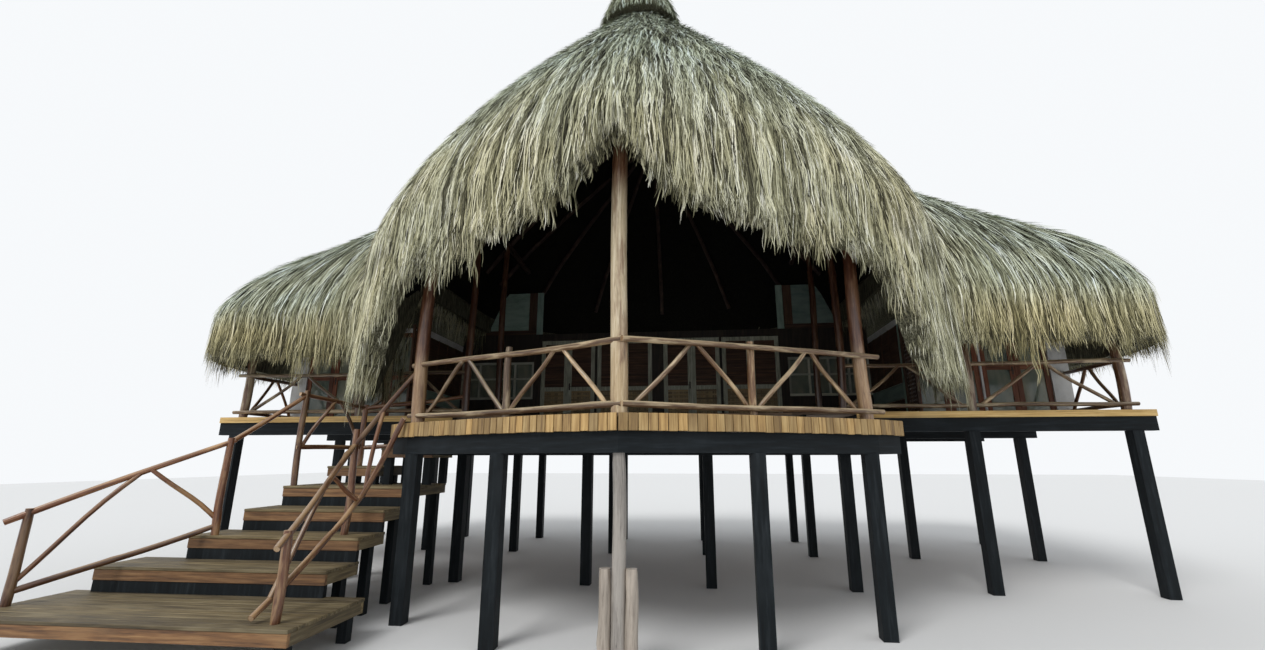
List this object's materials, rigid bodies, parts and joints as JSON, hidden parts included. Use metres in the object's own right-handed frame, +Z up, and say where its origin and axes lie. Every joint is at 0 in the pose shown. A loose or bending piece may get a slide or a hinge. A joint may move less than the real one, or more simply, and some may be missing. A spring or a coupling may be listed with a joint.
{
  "type": "thatched stilt house",
  "caption": "Timber house on stilts with a prow-shaped veranda under a tall bell-shaped grass thatch, two lower wings, a log railing and a broad stair.",
  "frame": {"origin": "on the ground under the centre post, at the foot of the log stilt that carries it", "axes": "+X to the right as one faces the front, +Y from the front to the back, +Z up"},
  "size_m": [17.96, 11.7845, 11.78],
  "materials": {
    "thatch": "dry grass thatch, silver-grey above and tan at the hems",
    "varnished_logs": "peeled round poles, red-brown varnish with worn pale patches",
    "fascia_boards": "oiled boards, honey to orange",
    "deck_boards": "brown deck boards",
    "tarred_timber": "blue-black timber preservative",
    "weathered_log": "bare grey weathered log",
    "dark_timber": "dark stained boards in the shade",
    "plaster": "matt off-white painted board",
    "window_glass": "clear window glass",
    "weathered_paint": "white paint, worn and grey",
    "red_brown_joinery": "red-brown varnished joinery"
  },
  "bodies": {
    "root": {"main_thatch": "thatch", "peak_cap": "thatch", "left_wing_thatch": "thatch", "right_wing_thatch": "thatch", "main_roof_frame": "varnished_logs", "left_wing_roof_frame": "varnished_logs", "right_wing_roof_frame": "varnished_logs", "centre_post": "varnished_logs", "veranda_posts": "varnished_logs", "wing_posts": "varnished_logs", "prow_deck": "deck_boards", "prow_fascia": "fascia_boards", "main_floor": "deck_boards", "left_wing_deck": "deck_boards", "right_wing_deck": "deck_boards", "deck_fascias": "fascia_boards", "prow_beams": "tarred_timber", "floor_beams": "tarred_timber", "hall_stilts": "tarred_timber", "wing_stilts": "tarred_timber", "centre_stilt": "weathered_log", "prow_railing_left": "varnished_logs", "prow_railing_right": "varnished_logs", "left_wing_railing": "varnished_logs", "right_wing_railing": "varnished_logs", "left_end_railing": "varnished_logs", "right_end_railing": "varnished_logs", "stair_landing": "deck_boards", "lower_steps": "deck_boards", "upper_landing": "deck_boards", "upper_steps": "deck_boards", "stair_stilts": "tarred_timber", "stair_right_railing": "varnished_logs", "stair_left_railing": "varnished_logs", "hall_front_wall": "dark_timber", "hall_back_wall": "plaster", "left_room_walls": "plaster", "right_room_walls": "plaster", "hall_windows": "window_glass", "left_room_windows": "window_glass", "right_room_windows": "window_glass"},
    "hall_door_4": {"hall_door_4": "weathered_paint"},
    "hall_door_5": {"hall_door_5": "weathered_paint"},
    "hall_door_3": {"hall_door_3": "weathered_paint"},
    "hall_door_6": {"hall_door_6": "weathered_paint"},
    "hall_door_2": {"hall_door_2": "weathered_paint"},
    "hall_door_7": {"hall_door_7": "weathered_paint"},
    "hall_door_1": {"hall_door_1": "weathered_paint"},
    "hall_door_8": {"hall_door_8": "weathered_paint"},
    "right_room_door_inner": {"right_room_door_inner": "red_brown_joinery"},
    "right_room_door_outer": {"right_room_door_outer": "red_brown_joinery"},
    "left_room_door_inner": {"left_room_door_inner": "red_brown_joinery"},
    "left_room_door_outer": {"left_room_door_outer": "red_brown_joinery"}
  },
  "joints": [
    {"name": "hall_door_4_hinge", "type": "hinge", "parent": "root", "child": "hall_door_4", "pos_m": [-0.156, 7.6275, 2.96], "axis": [0, 0, 1], "range_deg": [0, 90]},
    {"name": "hall_door_5_hinge", "type": "hinge", "parent": "root", "child": "hall_door_5", "pos_m": [0.156, 7.6275, 2.96], "axis": [0, 0, 1], "range_deg": [-90, 0]},
    {"name": "hall_door_3_hinge", "type": "hinge", "parent": "root", "child": "hall_door_3", "pos_m": [-1.592, 7.6275, 2.96], "axis": [0, 0, 1], "range_deg": [-90, 0]},
    {"name": "hall_door_6_hinge", "type": "hinge", "parent": "root", "child": "hall_door_6", "pos_m": [1.592, 7.6275, 2.96], "axis": [0, 0, 1], "range_deg": [0, 90]},
    {"name": "hall_door_2_hinge", "type": "hinge", "parent": "root", "child": "hall_door_2", "pos_m": [-1.664, 7.6275, 2.96], "axis": [0, 0, 1], "range_deg": [0, 90]},
    {"name": "hall_door_7_hinge", "type": "hinge", "parent": "root", "child": "hall_door_7", "pos_m": [1.664, 7.6275, 2.96], "axis": [0, 0, 1], "range_deg": [-90, 0]},
    {"name": "hall_door_1_hinge", "type": "hinge", "parent": "root", "child": "hall_door_1", "pos_m": [-3.1, 7.6275, 2.96], "axis": [0, 0, 1], "range_deg": [-90, 0]},
    {"name": "hall_door_8_hinge", "type": "hinge", "parent": "root", "child": "hall_door_8", "pos_m": [3.1, 7.6275, 2.96], "axis": [0, 0, 1], "range_deg": [0, 90]},
    {"name": "right_room_door_inner_hinge", "type": "hinge", "parent": "root", "child": "right_room_door_inner", "pos_m": [6.778, 5.4275, 2.96], "axis": [0, 0, 1], "range_deg": [-90, 0]},
    {"name": "right_room_door_outer_hinge", "type": "hinge", "parent": "root", "child": "right_room_door_outer", "pos_m": [8.064, 5.4275, 2.96], "axis": [0, 0, 1], "range_deg": [0, 90]},
    {"name": "left_room_door_inner_hinge", "type": "hinge", "parent": "root", "child": "left_room_door_inner", "pos_m": [-6.778, 5.4275, 2.96], "axis": [0, 0, 1], "range_deg": [0, 90]},
    {"name": "left_room_door_outer_hinge", "type": "hinge", "parent": "root", "child": "left_room_door_outer", "pos_m": [-8.064, 5.4275, 2.96], "axis": [0, 0, 1], "range_deg": [-90, 0]}
  ]
}
